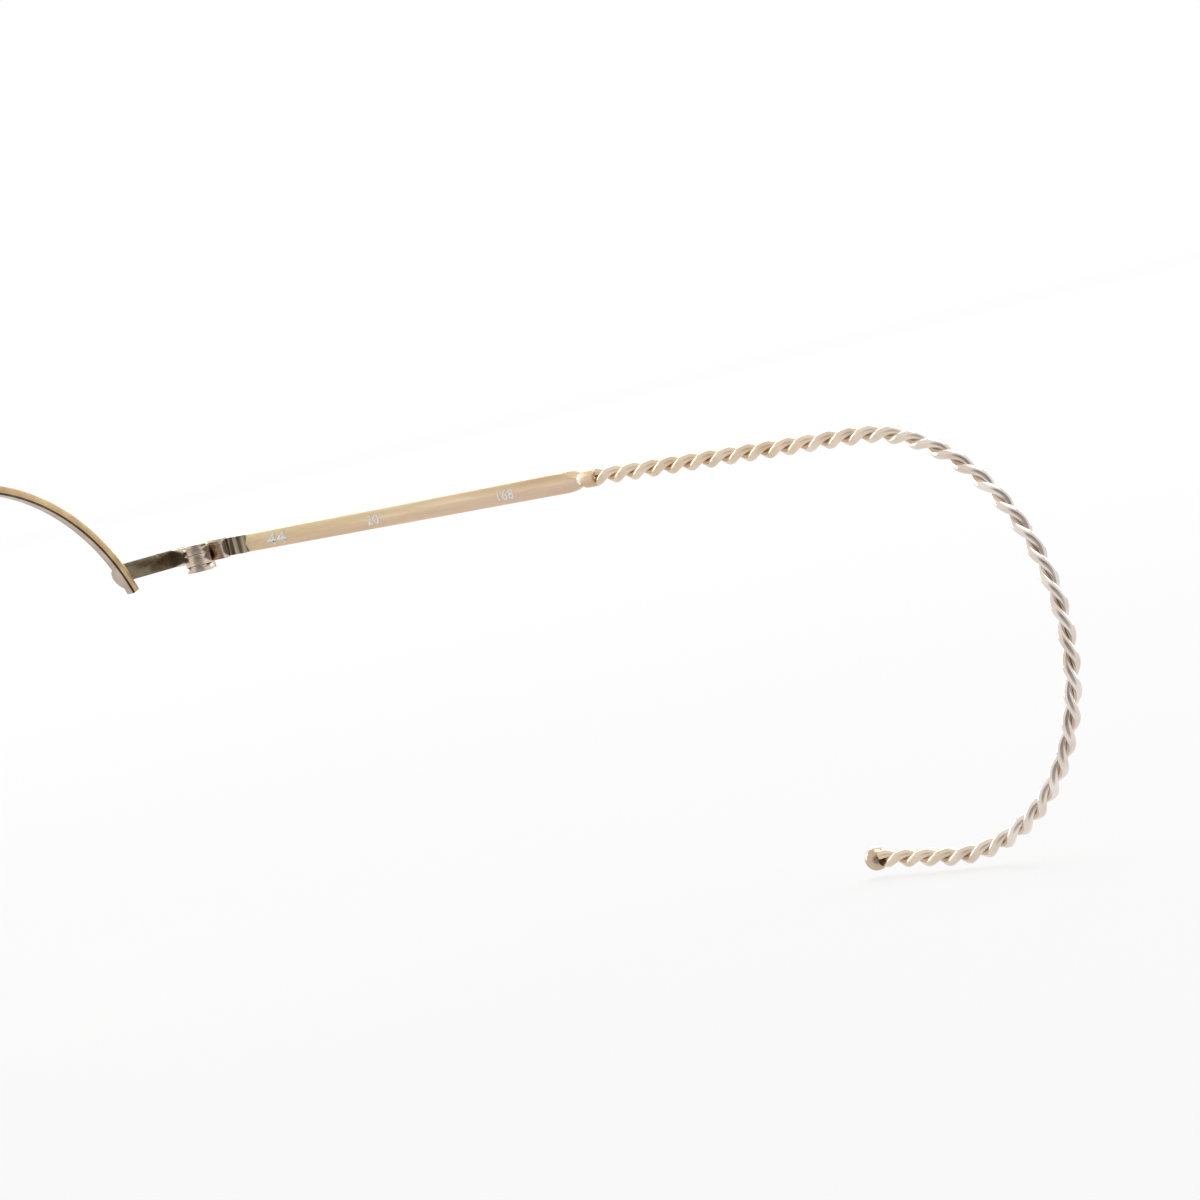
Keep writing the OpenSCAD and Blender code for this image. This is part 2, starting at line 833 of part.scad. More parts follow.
// A wire from the back of the rim to a box that holds the pad's core
module pad_arm(s) {
    root_angle = 161;
    root = [lens_x + rim_mid * cos(root_angle), rim_t / 2, rim_mid * sin(root_angle)];
    box_front = 0.6;
    box_back = 1.0;
    box_h = 1.8;
    back_t = 0.45;
    arm_stand = 1.9;
    arm_lift = 0.9;
    arm_run = 1.2;
    arm_sway = 0.3;
    end = pad_pivot - (box_back + 0.75 * back_t) * pad_normal;
    before_end = end - arm_run * pad_normal;
    half_way = (root + before_end) / 2;
    route = curve([
        root,
        root + [arm_sway, arm_stand, -arm_sway],
        [half_way[0] + arm_sway, before_end[1], half_way[2] + arm_lift],
        before_end + [arm_sway, 0, arm_run],
        before_end,
        end
    ], 4);
    color(GOLD)
        side(s) {
            wire(route, pad_wire_d / 2, 10);
            at_pad()
                difference() {
                    union() {
                        for (m = [0, 1])
                            mirror([0, m, 0])
                                translate([-box_front, box_in + face_clear, -box_h / 2])
                                    cube([box_front + box_back + back_t, box_wall, box_h]);
                        translate([box_back, -box_out, -box_h / 2])
                            cube([back_t, 2 * box_out, box_h]);
                    }
                    rod_y(pad_screw_d / 2 + fix_clear, 4 * box_out);
                }
        }
}

module pad_screw(s) {
    color(STEEL)
        side(s)
            at_pad() {
                rod_y(pad_screw_d / 2, 2 * box_out);
                translate([0, box_out + pad_head_t / 2, 0])
                    rod_y(pad_screw_d / 2 + 0.25, pad_head_t);
            }
}

// A tongue that turns on the pad screw and carries the pad
module pad_core(s) {
    tongue_r = 0.8;
    color(STEEL)
        side(s)
            at_pad()
                difference() {
                    union() {
                        rod_y(tongue_r, 2 * box_in);
                        translate([-pad_reach + pad_t, -box_in, -tongue_r])
                            cube([pad_reach - pad_t, 2 * box_in, 2 * tongue_r]);
                    }
                    rod_y(pad_screw_d / 2 + run_clear, 4 * box_in);
                }
}

// A soft pad with a crowned face
module nose_pad(s) {
    crown_r = 17;
    color(SILICONE)
        side(s)
            at_pad()
                intersection() {
                    translate([-pad_reach, 0, 0])
                        rotate([0, 90, 0])
                            linear_extrude(height = pad_t)
                                union() {
                                    square([pad_l - pad_w, pad_w], center = true);
                                    for (e = [-1, 1])
                                        translate([e * (pad_l - pad_w) / 2, 0])
                                            circle(d = pad_w);
                                }
                    translate([crown_r - pad_reach, 0, 0])
                        sphere(r = crown_r, $fn = 120);
                }
}

half_rim(RIGHT);  // right_half_rim
half_rim(LEFT);  // left_half_rim
stop_lug(RIGHT);  // right_stop_lug
stop_lug(LEFT);  // left_stop_lug
bridge();
top_bar();
flip_bracket();
flip_pin();
flip_spring();
endpiece(RIGHT);  // right_endpiece
endpiece(LEFT);  // left_endpiece
front_leaf(RIGHT);  // right_front_leaf
front_leaf(LEFT);  // left_front_leaf
pad_arm(RIGHT);  // right_pad_arm
pad_arm(LEFT);  // left_pad_arm
pad_screw(RIGHT);  // right_pad_screw
pad_screw(LEFT);  // left_pad_screw
pad_core(RIGHT);  // right_pad_core
pad_core(LEFT);  // left_pad_core
nose_pad(RIGHT);  // right_nose_pad
nose_pad(LEFT);  // left_nose_pad
flip_knuckle();
flip_bar();
ring(RIGHT);  // right_ring
ring(LEFT);  // left_ring
ring_block(RIGHT);  // right_ring_block
ring_block(LEFT);  // left_ring_block
ring_screw(RIGHT);  // right_ring_screw
ring_screw(LEFT);  // left_ring_screw
lens(RIGHT);  // right_lens
lens(LEFT);  // left_lens
temple_leaf(RIGHT);  // right_temple_leaf
temple_leaf(LEFT);  // left_temple_leaf
hinge_screw(RIGHT);  // right_hinge_screw
hinge_screw(LEFT);  // left_hinge_screw
temple_bar(RIGHT);  // right_temple_bar
temple_bar(LEFT);  // left_temple_bar
cable_ferrule(RIGHT);  // right_cable_ferrule
cable_ferrule(LEFT);  // left_cable_ferrule
cable(RIGHT);  // right_cable
cable(LEFT);  // left_cable
ball_tip(RIGHT);  // right_ball_tip
ball_tip(LEFT);  // left_ball_tip
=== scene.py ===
"""Looks for the round flip-up eyeglasses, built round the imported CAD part.

The pieces are drawn in millimetres and turned into metres when their meshes are made. The floor
and the lamps are in metres. Every piece that comes in pairs is drawn for the wearer's left side and
mirrored for the right one."""
import json
import math

import bmesh
import bpy
from mathutils import Matrix, Vector


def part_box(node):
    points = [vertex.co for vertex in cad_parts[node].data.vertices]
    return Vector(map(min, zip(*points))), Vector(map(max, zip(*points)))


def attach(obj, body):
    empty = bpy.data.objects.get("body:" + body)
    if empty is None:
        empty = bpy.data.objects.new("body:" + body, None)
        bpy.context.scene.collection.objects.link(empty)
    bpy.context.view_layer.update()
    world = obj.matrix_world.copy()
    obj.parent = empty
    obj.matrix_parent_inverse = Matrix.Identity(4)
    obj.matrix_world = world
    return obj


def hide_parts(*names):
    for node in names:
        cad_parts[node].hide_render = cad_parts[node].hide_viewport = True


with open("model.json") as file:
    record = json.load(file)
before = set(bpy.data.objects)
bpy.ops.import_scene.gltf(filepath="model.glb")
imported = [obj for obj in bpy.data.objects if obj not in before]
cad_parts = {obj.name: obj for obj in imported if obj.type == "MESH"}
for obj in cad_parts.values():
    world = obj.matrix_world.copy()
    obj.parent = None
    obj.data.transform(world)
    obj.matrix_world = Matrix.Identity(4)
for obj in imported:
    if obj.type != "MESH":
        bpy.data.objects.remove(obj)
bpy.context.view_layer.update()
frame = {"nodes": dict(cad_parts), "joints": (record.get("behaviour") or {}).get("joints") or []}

MM = 0.001
SIDES = {"left": 1, "right": -1}

# Sizes that the part's source has too
BAR_L = 57.6                    # from the hinge's axis to the back end
BAR_FRONT = 5.6                 # from the hinge's axis to the front end
BAR_H1, BAR_H2 = 1.85, 2.05     # height in front and behind
BAR_RIDGE, BAR_EDGE = 0.6, 0.408    # half thickness at the ridges and at the edges
NECK_L = 0.3
FERRULE_L = 2.2
CABLE_D = 1.7
CABLE_BEAD = 2.64               # half a turn of the two strands
RUN_L = 95.0                    # from the hinge's axis to the curl's middle
CURL_R, CURL_TURN, CABLE_DIP = 19.6, math.radians(182), math.radians(1.1)
TAIL_L = 8.2
BALL_D = 2.25
RIM_W, RIM_T = 0.9, 1.2
RIM_FROM, RIM_TO = math.radians(19.2), math.radians(168)
HINGE_IN, LEAF_L = 2.7, 2.6
PAD_L, PAD_W, PAD_T, PAD_REACH = 13.0, 7.5, 1.8, 3.4
PAD_LEAN, PAD_TURN = math.radians(20), math.radians(25)

# Places, in millimetres, that follow from the frame's joints and boxes
joint_at = {j["name"]: Vector(j["pos_m"]) / MM for j in frame["joints"]}
hinge = joint_at["left_fold"]
pad_pivot = joint_at["left_pad_rock"]
temple_x = hinge.x + HINGE_IN
bar_end_y = hinge.y + BAR_L
cable_y = bar_end_y + NECK_L + FERRULE_L
curl_y = hinge.y + RUN_L
straight_l = (curl_y + CURL_R * math.sin(CABLE_DIP) - cable_y) / math.cos(CABLE_DIP)
curl_z = hinge.z - straight_l * math.sin(CABLE_DIP) - CURL_R * math.cos(CABLE_DIP)
arc_l = CURL_R * CURL_TURN
cable_l = straight_l + arc_l + TAIL_L
rim_low, rim_high = (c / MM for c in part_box("left_half_rim"))
ring_low, ring_high = (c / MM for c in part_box("left_ring"))
rim_out = (ring_high.x - ring_low.x) / 2
lens_centre = Vector(((ring_low.x + ring_high.x) / 2, (rim_low.y + rim_high.y) / 2,
                      rim_high.z - rim_out))


# ---------------------------------------------------------------- materials

NOISE_LOW, NOISE_HIGH = 0.3, 0.7    # most of a noise's values lie between these two
MATERIALS = {}


def grey(v):
    """A linear grey with its alpha."""
    return (v, v, v, 1)


def add(nt, kind, inputs, **settings):
    """A new shader node whose inputs, by name or number, each get a value or a link."""
    node = nt.nodes.new("ShaderNode" + kind)
    for key, value in settings.items():
        setattr(node, key, value)
    for key, value in inputs.items():
        if isinstance(value, bpy.types.NodeSocket):
            nt.links.new(value, node.inputs[key])
        else:
            node.inputs[key].default_value = value
    return node


def new_material(name):
    """The empty node tree of a new material, which is kept under its name."""
    MATERIALS[name] = bpy.data.materials.new(name)
    MATERIALS[name].use_nodes = True
    nt = MATERIALS[name].node_tree
    nt.nodes.clear()
    return nt


def linear(rgb):
    """An 8-bit sRGB colour as linear values."""
    return [((c / 255 + 0.055) / 1.055) ** 2.4 if c > 10 else c / 255 / 12.92 for c in rgb]


def noise(nt, scale, stretch=(1, 1, 1), detail=4.0):
    """Noise over the object's own coordinates, with scale in waves per millimetre."""
    at = add(nt, "TexCoord", {})
    scaled = add(nt, "Mapping", {"Vector": at.outputs["Object"],
                                 "Scale": [scale / MM * k for k in stretch]})
    waves = add(nt, "TexNoise", {"Vector": scaled.outputs[0], "Scale": 1.0, "Detail": detail})
    return waves.outputs["Fac"]


def ramp(nt, fac, stops, interpolation="LINEAR"):
    """A colour ramp over (place, linear colour with alpha) pairs."""
    node = add(nt, "ValToRGB", {"Fac": fac})
    node.color_ramp.interpolation = interpolation
    elements = node.color_ramp.elements
    while len(elements) < len(stops):
        elements.new(0.5)
    for element, (at, colour) in zip(elements, stops):
        element.position = at
        element.color = colour
    return node.outputs["Color"]


def tones(nt, fac, colours, places):
    """A ramp over 8-bit sRGB colours at their places."""
    return ramp(nt, fac, [(at, (*linear(rgb), 1)) for at, rgb in zip(places, colours)])


def remap(nt, value, from_low, from_high, to_low=0.0, to_high=1.0, **settings):
    """A value moved from one range to another and held within it."""
    moved = add(nt, "MapRange", {"Value": value, "From Min": from_low, "From Max": from_high,
                                 "To Min": to_low, "To Max": to_high}, **settings)
    return moved.outputs["Result"]


def along(nt, low, high):
    """0 to 1 from one place to another along the temples, both in millimetres."""
    at = add(nt, "TexCoord", {})
    parts = add(nt, "SeparateXYZ", {0: at.outputs["Object"]})
    return remap(nt, parts.outputs["Y"], low * MM, high * MM)


def blended(nt, fac, a, b, blend_type="MIX"):
    """Two linear colours or links, mixed by fac."""
    return add(nt, "Mix", {0: fac, 6: a, 7: b}, data_type="RGBA", blend_type=blend_type).outputs[2]


def metal(name, colours, rough, places=(NOISE_LOW, NOISE_HIGH), patch=0.6, grain=12.0,
          stretch=(1, 1, 1), depth=0.004, metallic=1.0, fade=None):
    """A metal whose colour drifts in patches and whose roughness and relief follow a finer grain.

    With fade (linear factors, from, to) the colour is also multiplied, more and more, along the
    temples."""
    nt = new_material(name)
    colour = tones(nt, noise(nt, patch, stretch), colours, places)
    if fade:
        factors, low, high = fade
        colour = blended(nt, along(nt, low, high), colour, (*factors, 1), "MULTIPLY")
    fine = noise(nt, grain, stretch, detail=6.0)
    relief = add(nt, "Bump", {"Height": fine, "Strength": 0.5, "Distance": depth * MM})
    surface = add(nt, "BsdfPrincipled", {
        "Base Color": colour, "Roughness": remap(nt, fine, NOISE_LOW, NOISE_HIGH, *rough),
        "Metallic": metallic, "Normal": relief.outputs[0]})
    add(nt, "OutputMaterial", {"Surface": surface.outputs[0]})


def clear(name, colours, rough, ior, grain, transmission=1.0):
    """A clear glass or silicone with faint drifts of tint and haze."""
    nt = new_material(name)
    drift = noise(nt, grain)
    surface = add(nt, "BsdfPrincipled", {
        "Base Color": tones(nt, drift, colours, (NOISE_LOW, NOISE_HIGH)),
        "Roughness": remap(nt, drift, NOISE_LOW, NOISE_HIGH, *rough),
        "IOR": ior, "Transmission Weight": transmission})
    add(nt, "OutputMaterial", {"Surface": surface.outputs[0]})


# The bar is brushed lengthwise, and grows a little darker and redder towards its back end
BRUSHED = {"rough": (0.3, 0.46), "patch": 0.9, "grain": 9.0, "stretch": (1, 0.04, 1),
           "depth": 0.005}
BAR_FADE = (hinge.y + 15, bar_end_y)
# The cable is paler and greyer where it curls, as a painted reflection
CABLE_REFLECTION_FADE = (curl_y - 8, curl_y + 0.7 * CURL_R)

metal("rim_gold", ((190, 160, 120), (220, 192, 150)), (0.24, 0.38))
metal("rim_inner", ((176, 160, 146), (204, 190, 176)), (0.3, 0.42))
metal("rim_line", ((74, 66, 54), (112, 98, 76)), (0.35, 0.5))
metal("temple_gold", ((203, 177, 141), (217, 195, 159), (238, 222, 195)),
      places=(NOISE_LOW, 0.5, 0.72), fade=((0.93, 0.89, 0.91), *BAR_FADE), **BRUSHED)
# A paler, pinker copy of the bar's gold: painted reflection on the bar's downward faces
metal("painted_reflection_rose", ((213, 186, 154), (231, 208, 179)),
      fade=((0.92, 0.89, 0.98), *BAR_FADE), **BRUSHED)
metal("cable_gold", ((208, 185, 158), (230, 211, 188)), (0.1, 0.2), patch=0.35, depth=0.002,
      fade=((1.06, 1.18, 1.42), *CABLE_REFLECTION_FADE))
# Near-white gold: a painted highlight on the ferrule's neck
metal("painted_highlight_gold", ((246, 238, 228), (252, 247, 240)), (0.3, 0.4))
metal("tip_gold", ((184, 162, 136), (204, 184, 160)), (0.14, 0.22), depth=0.002)
metal("dark_gold", ((96, 88, 74), (130, 119, 99)), (0.18, 0.28), patch=0.7, grain=7.0, depth=0.003)
metal("hinge_gold", ((192, 174, 156), (228, 212, 196)), (0.14, 0.28), patch=0.8)
# Dark gold with light bands one after another along the temples: painted reflections of facets
metal("banded_reflection_gold", ((76, 68, 57), (178, 166, 142), (88, 79, 66)), (0.2, 0.34),
      places=(0.4, 0.5, 0.58), patch=0.75, stretch=(0.06, 1, 0.06), depth=0.008)
metal("screw_steel", ((196, 180, 168), (224, 212, 202)), (0.12, 0.26))
# A darker gold: painted shade in the ball's socket
metal("socket_shade_gold", ((150, 130, 104), (176, 154, 126)), (0.4, 0.5))
metal("print_white", ((240, 240, 242), (252, 252, 254)), (0.5, 0.65), metallic=0.0)
clear("lens_glass", ((247, 251, 249), (250, 252, 251)), (0.0, 0.01), ior=1.5, grain=0.04)
clear("pad_silicone", ((240, 243, 242), (246, 248, 247)), (0.3, 0.34), ior=1.41, grain=0.3,
      transmission=0.55)


# ---------------------------------------------------------------- mesh makers

ROUND_SIDES = 48                # of a revolved piece
MERGE_M = 2e-6                  # CAD points closer than this are one
FLAT_ANGLE = math.radians(0.6)  # CAD facets that meet flatter than this are one face
SHARP_ANGLE = math.radians(28)  # CAD edges sharper than this are rounded over


def add_piece(name, bm, body, materials):
    """A new object of the mesh, riding on its body."""
    mesh = bpy.data.meshes.new(name)
    bm.to_mesh(mesh)
    bm.free()
    for m in materials:
        mesh.materials.append(MATERIALS[m])
    piece = bpy.data.objects.new(name, mesh)
    bpy.context.scene.collection.objects.link(piece)
    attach(piece, body)
    return piece


def add_solid(name, node, bm, body, materials, smooth_deg):
    """A piece that stands for a CAD node, smooth but for the edges sharper than smooth_deg."""
    bmesh.ops.recalc_face_normals(bm, faces=bm.faces)
    piece = add_piece(name, bm, body, materials)
    piece.data.shade_smooth()
    piece.data.set_sharp_from_angle(angle=math.radians(smooth_deg))
    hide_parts(node)


def make(side_name, name, node, body, verts, faces, materials, shades=None, smooth_deg=40):
    """A closed piece from points in millimetres, mirrored for the right side.

    The two names come without their side. Shades say which material each face is of."""
    side = SIDES[side_name]
    bm = bmesh.new()
    points = [bm.verts.new((x * side * MM, y * MM, z * MM)) for x, y, z in verts]
    for i, corners in enumerate(faces):
        face = bm.faces.new([points[k] for k in corners])
        if shades:
            face.material_index = shades[i]
    add_solid(f"{side_name}_{name}", f"{side_name}_{node}", bm, body, materials, smooth_deg)


def tube_faces(count, n, first=0):
    """Quads between count rings of n points each, then a flat cap at either end."""
    quads = []
    for i in range(count - 1):
        here, there = first + i * n, first + (i + 1) * n
        for j in range(n):
            k = (j + 1) % n
            quads.append((here + j, here + k, there + k, there + j))
    last = first + (count - 1) * n
    return quads + [tuple(range(first, first + n)), tuple(range(last, last + n))]


def tube_shades(faces, n, band_shades, caps=(0, 0)):
    """Shades for a tube's faces: each band's own, 0 for bands past the list, and the two caps'."""
    bands = [i // n for i in range(len(faces) - 2)]
    return [band_shades[b] if b < len(band_shades) else 0 for b in bands] + list(caps)


def strip_shades(faces, edge_shades):
    """Shades for a tube's faces that follow the edges of its section, and 0 for the two caps."""
    n = len(edge_shades)
    return [edge_shades[i % n] for i in range(len(faces) - 2)] + [0, 0]


def revolve(profile, origin, axis):
    """Rings of (radius, height) pairs round an axis."""
    up = Vector(axis).normalized()
    across = up.orthogonal().normalized()
    third = up.cross(across)
    verts = []
    for r, h in profile:
        for k in range(ROUND_SIDES):
            a = 2 * math.pi * k / ROUND_SIDES
            verts.append(Vector(origin) + h * up + r * (math.cos(a) * across + math.sin(a) * third))
    return verts, tube_faces(len(profile), ROUND_SIDES)


def softened(node, name, body, slot, material, width, segments=2, rear=None, rear_from=0.0):
    """A CAD solid with its sharp edges rounded over by a width in millimetres.

    With rear, the faces behind rear_from along the temples are of that material."""
    bm = bmesh.new()
    bm.from_mesh(frame["nodes"][node].data)
    bmesh.ops.remove_doubles(bm, verts=bm.verts, dist=MERGE_M)
    bmesh.ops.dissolve_limit(bm, angle_limit=FLAT_ANGLE, verts=bm.verts, edges=bm.edges)
    sharp = [e for e in bm.edges
             if len(e.link_faces) == 2 and e.calc_face_angle(0) > SHARP_ANGLE]
    bmesh.ops.bevel(bm, geom=sharp, offset=width * MM, segments=segments, profile=0.5,
                    affect="EDGES", clamp_overlap=True)
    for f in bm.faces:
        f.material_index = 1 if rear and f.calc_center_median().y > rear_from * MM else 0
    materials = [material, rear] if rear else [material]
    add_solid(name, node, bm, body, materials, smooth_deg=35)


# ---------------------------------------------------------------- temples

STRAND_R = 0.44                 # of each of the cable's two strands
FIRST_TURN = 0.2                # the twist is ahead by this length of cable
IN_FERRULE, IN_BALL = 0.9, 0.35     # how far the strands reach into either end's piece
STEPS_PER_BEAD = 14
STRAND_SIDES = 14


def cable_angle(q):
    """Angle of the cable below straight back, at the distance q along it."""
    return CABLE_DIP + min(max(q - straight_l, 0), arc_l) / CURL_R


def cable_middle(q):
    """Point on the cable's middle line at the distance q along it."""
    a = cable_angle(q)
    off = min(q - straight_l, 0) + max(q - straight_l - arc_l, 0)
    return Vector((temple_x, curl_y + CURL_R * math.sin(a) + off * math.cos(a),
                   curl_z + CURL_R * math.cos(a) - off * math.sin(a)))


def cable(side_name):
    """Two round strands that turn about each other, wound the same way on both sides."""
    offset = CABLE_D / 2 - STRAND_R
    sideways = SIDES[side_name] * Vector((1, 0, 0))
    start, end = -IN_FERRULE, cable_l + IN_BALL
    steps = int((end - start) / CABLE_BEAD * STEPS_PER_BEAD)
    nudge = 0.02

    def strand_centre(q, phase):
        w = math.pi * (q + FIRST_TURN) / CABLE_BEAD + phase
        a = cable_angle(q)
        outward = Vector((0, math.sin(a), math.cos(a)))
        return cable_middle(q) + offset * (math.cos(w) * outward - math.sin(w) * sideways)

    verts, faces = [], []
    for phase in (0, math.pi):
        first = len(verts)
        for i in range(steps + 1):
            q = start + (end - start) * i / steps
            here = strand_centre(q, phase)
            t = (strand_centre(q + nudge, phase) - strand_centre(q - nudge, phase)).normalized()
            u = (here - cable_middle(q)).normalized()
            u = (u - u.dot(t) * t).normalized()
            v = t.cross(u)
            for j in range(STRAND_SIDES):
                f = 2 * math.pi * j / STRAND_SIDES
                verts.append(here + STRAND_R * (math.cos(f) * u + math.sin(f) * v))
        faces += tube_faces(steps + 1, STRAND_SIDES, first)
    make(side_name, "twisted_cable", "cable", side_name + "_temple", verts, faces,
         ["cable_gold"], smooth_deg=80)


def temple_bar(side_name):
    """The bar: a ridge along either face, a blunt rounded back end and a flat on its shoulder."""
    tip_l, tip_steps = 2.0, 14
    tip_shrink = 0.4            # the bar's section loses this share at its very end
    tip_power = 2.6
    cuts = 4                    # parts of each of the section's edges
    shoulder = Vector((temple_x - BAR_EDGE, bar_end_y - 2.3, hinge.z + BAR_H2 / 2 - 0.03))
    shoulder_normal = Vector((-0.5, 0.3, 0.82)).normalized()
    front_y = hinge.y + BAR_FRONT
    stations = [front_y, bar_end_y - 2 * tip_l]
    stations += [bar_end_y - tip_l * (1 - k / tip_steps) for k in range(tip_steps + 1)]
    verts = []
    for y in stations:
        k = (y - front_y) / (bar_end_y - front_y)
        h = (BAR_H1 + (BAR_H2 - BAR_H1) * k) / 2
        # From the outer ridge over the eased upper edges to the inner ridge, and back below
        corners = [(BAR_RIDGE, 0), (BAR_EDGE + 0.02, h - 0.11), (BAR_EDGE - 0.04, h - 0.02),
                   (BAR_EDGE - 0.13, h)]
        corners += [(-x, z) for x, z in reversed(corners[1:])] + [(-BAR_RIDGE, 0)]
        corners += [(-x, -z) for x, z in corners[1:-1]]
        u = max(0, 1 - (bar_end_y - y) / tip_l)
        shrink = 1 - tip_shrink * u ** tip_power
        for (x0, z0), (x1, z1) in zip(corners, corners[1:] + corners[:1]):
            for cut in range(cuts):
                t = cut / cuts
                p = Vector((temple_x + (x0 + (x1 - x0) * t) * shrink, y,
                            hinge.z + (z0 + (z1 - z0) * t) * shrink))
                over = (p - shoulder).dot(shoulder_normal)
                if over > 0 and p.z > hinge.z:
                    p -= over * shoulder_normal
                verts.append(p)
    faces = tube_faces(len(stations), len(corners) * cuts)
    # The four edges below the inner ridge, the last one the bar's underside, are rose
    # That rose is a painted reflection, paler and pinker on the faces that look down
    edge_shades = [shade for shade, edges in ((0, 7), (1, 4), (0, 3)) for _ in range(edges * cuts)]
    make(side_name, "satin_bar", "temple_bar", side_name + "_temple", verts, faces,
         ["temple_gold", "painted_reflection_rose"], strip_shades(faces, edge_shades), smooth_deg=14)


def ferrule(side_name):
    """The thin bright neck and the sleeve, rounded towards the bar, that grips the strands."""
    core_r, neck_r = 0.05, 0.52
    r = CABLE_D / 2 + 0.03
    start, front, end = -0.1, NECK_L + 0.2, NECK_L + FERRULE_L
    profile = [(core_r, start), (neck_r, start), (neck_r, front), (0.62, front + 0.02),
               (0.76, front + 0.1), (0.84, front + 0.22), (r, front + 0.4),
               (r, end - 0.35), (r - 0.04, end - 0.12), (r - 0.14, end), (core_r, end)]
    verts, faces = revolve(profile, (temple_x, bar_end_y, hinge.z), (0, 1, 0))
    # The neck and the rings next to it are the first three bands, which carry the painted highlight
    make(side_name, "ferrule", "cable_ferrule", side_name + "_temple", verts, faces,
         ["temple_gold", "painted_highlight_gold"], tube_shades(faces, ROUND_SIDES, (1, 1, 1)))


def ball(side_name):
    """The ball, with a shallow countersunk socket, painted in shade, that the strands go into."""
    a = cable_angle(cable_l)
    forward = Vector((0, math.cos(a), -math.sin(a)))
    r = BALL_D / 2
    overlap = 0.2               # of the ball over the cable's end
    mouth_r = 0.72
    steps = 22
    centre = cable_middle(cable_l) + (r - overlap) * forward
    profile = [(0.06, -0.72), (0.5, -0.75)]     # the socket, then the ball's own curve
    first, last = math.asin(mouth_r / r), math.pi - 0.04
    for k in range(steps + 1):
        b = first + (last - first) * k / steps
        profile.append((r * math.sin(b), -r * math.cos(b)))
    verts, faces = revolve(profile, centre, forward)
    # The socket's two bands and its floor carry the painted shade
    make(side_name, "ball_end", "ball_tip", side_name + "_temple", verts, faces,
         ["tip_gold", "socket_shade_gold"], tube_shades(faces, ROUND_SIDES, (1, 1), caps=(1, 0)))


# ---------------------------------------------------------------- rims

def rim(side_name):
    """The half rim: a flat band with eased corners, a greyer inner face and a dark line by it."""
    steps = 150
    ease, burr = 0.1, 0.03
    mid = rim_out - RIM_W / 2
    w, t = RIM_W / 2, RIM_T / 2
    section = [(-w, -t + ease), (-w + ease, -t), (w - ease, -t), (w - burr, -t + burr),
               (w, -t + ease), (w, t - ease), (w - burr, t - burr), (w - ease, t),
               (-w + 0.2, t), (-w + 0.12, t - 0.05), (-w, t - 0.12)]
    gold, inner, line = range(3)
    edge_shades = [gold] * 8 + [line, line, inner]
    verts = []
    for i in range(steps + 1):
        a = RIM_FROM + (RIM_TO - RIM_FROM) * i / steps
        for radial, depth in section:
            r = mid + radial
            verts.append(lens_centre + Vector((r * math.cos(a), depth, r * math.sin(a))))
    faces = tube_faces(steps + 1, len(section))
    make(side_name, "upper_rim", "half_rim", "frame", verts, faces,
         ["rim_gold", "rim_inner", "rim_line"], strip_shades(faces, edge_shades))


# ---------------------------------------------------------------- nose pads

def pad_place(local):
    """A point in the left pad's frame as a point in the shared frame."""
    turn = Matrix.Rotation(-PAD_TURN, 3, "Z") @ Matrix.Rotation(-PAD_LEAN, 3, "Y")
    return pad_pivot + turn @ Vector(local)


def nose_pad(side_name):
    """A drop-shaped silicone pad with a crowned contact face and a rounded rim."""
    sides = 56
    narrowing = 0.07            # of the upper end
    squareness = 2.2            # of the outline's long sides
    # The share of the full outline, and the depth behind the contact face
    profile = [(0.02, 0.0), (0.25, 0.02), (0.5, 0.09), (0.7, 0.2), (0.85, 0.38), (0.94, 0.6),
               (0.985, 0.85), (1.0, 1.1), (0.99, 1.35), (0.95, 1.58), (0.87, 1.72), (0.74, 1.79),
               (0.5, PAD_T), (0.02, PAD_T)]
    straight = (PAD_L - PAD_W) / 2
    verts = []
    for k, depth in profile:
        for j in range(sides):
            a = 2 * math.pi * j / sides
            y = math.cos(a) * PAD_W / 2 * (1 - narrowing * math.sin(a))
            bulge = math.tanh(squareness * math.sin(a))
            z = math.sin(a) * PAD_W / 2 + straight * bulge / math.tanh(squareness)
            verts.append(pad_place((-PAD_REACH + depth, k * y, k * z)))
    make(side_name, "soft_pad", "nose_pad", side_name + "_pad", verts,
         tube_faces(len(profile), sides), ["pad_silicone"], smooth_deg=60)


# ---------------------------------------------------------------- size marks

MARK_LIFT = 0.012               # of the print off the bar
MARK_SIDE = "right"


def bar_surface(z):
    """Half the bar's thickness at a height."""
    return BAR_RIDGE - (BAR_RIDGE - BAR_EDGE) * min(abs(z - hinge.z) / (BAR_H2 / 2), 1)


def size_mark(name, text, from_hinge, height, wide):
    """White plain numbers, stretched by wide and laid on the ridged inner face of the bar."""
    curve = bpy.data.curves.new(name, "FONT")
    curve.body = text
    curve.size = height * 1.42  # makes the figures themselves as high as asked
    curve.resolution_u = 3
    curve.offset = 0.02 * height
    curve.space_character = 1.1
    letters = bpy.data.objects.new(name, curve)
    bpy.context.scene.collection.objects.link(letters)
    bpy.context.view_layer.update()
    bm = bmesh.new()
    bm.from_mesh(letters.evaluated_get(bpy.context.evaluated_depsgraph_get()).to_mesh())
    bpy.data.objects.remove(letters)
    for v in bm.verts:
        v.co.y -= height / 2
    # Cut along the ridge, so that each half lies flat on its own slope
    bmesh.ops.bisect_plane(bm, geom=bm.verts[:] + bm.edges[:] + bm.faces[:], plane_co=(0, 0, 0),
                           plane_no=(0, 1, 0))
    side = SIDES[MARK_SIDE]
    for v in bm.verts:
        y, z = hinge.y + from_hinge + wide * v.co.x, hinge.z + v.co.y
        v.co = Vector((side * (temple_x - bar_surface(z) - MARK_LIFT), y, z)) * MM
    inward = Vector((-side, 0, 0))
    for f in bm.faces:
        f.normal_update()
        if f.normal.dot(inward) < 0:
            f.normal_flip()
    add_piece(name, bm, MARK_SIDE + "_temple", ["print_white"])
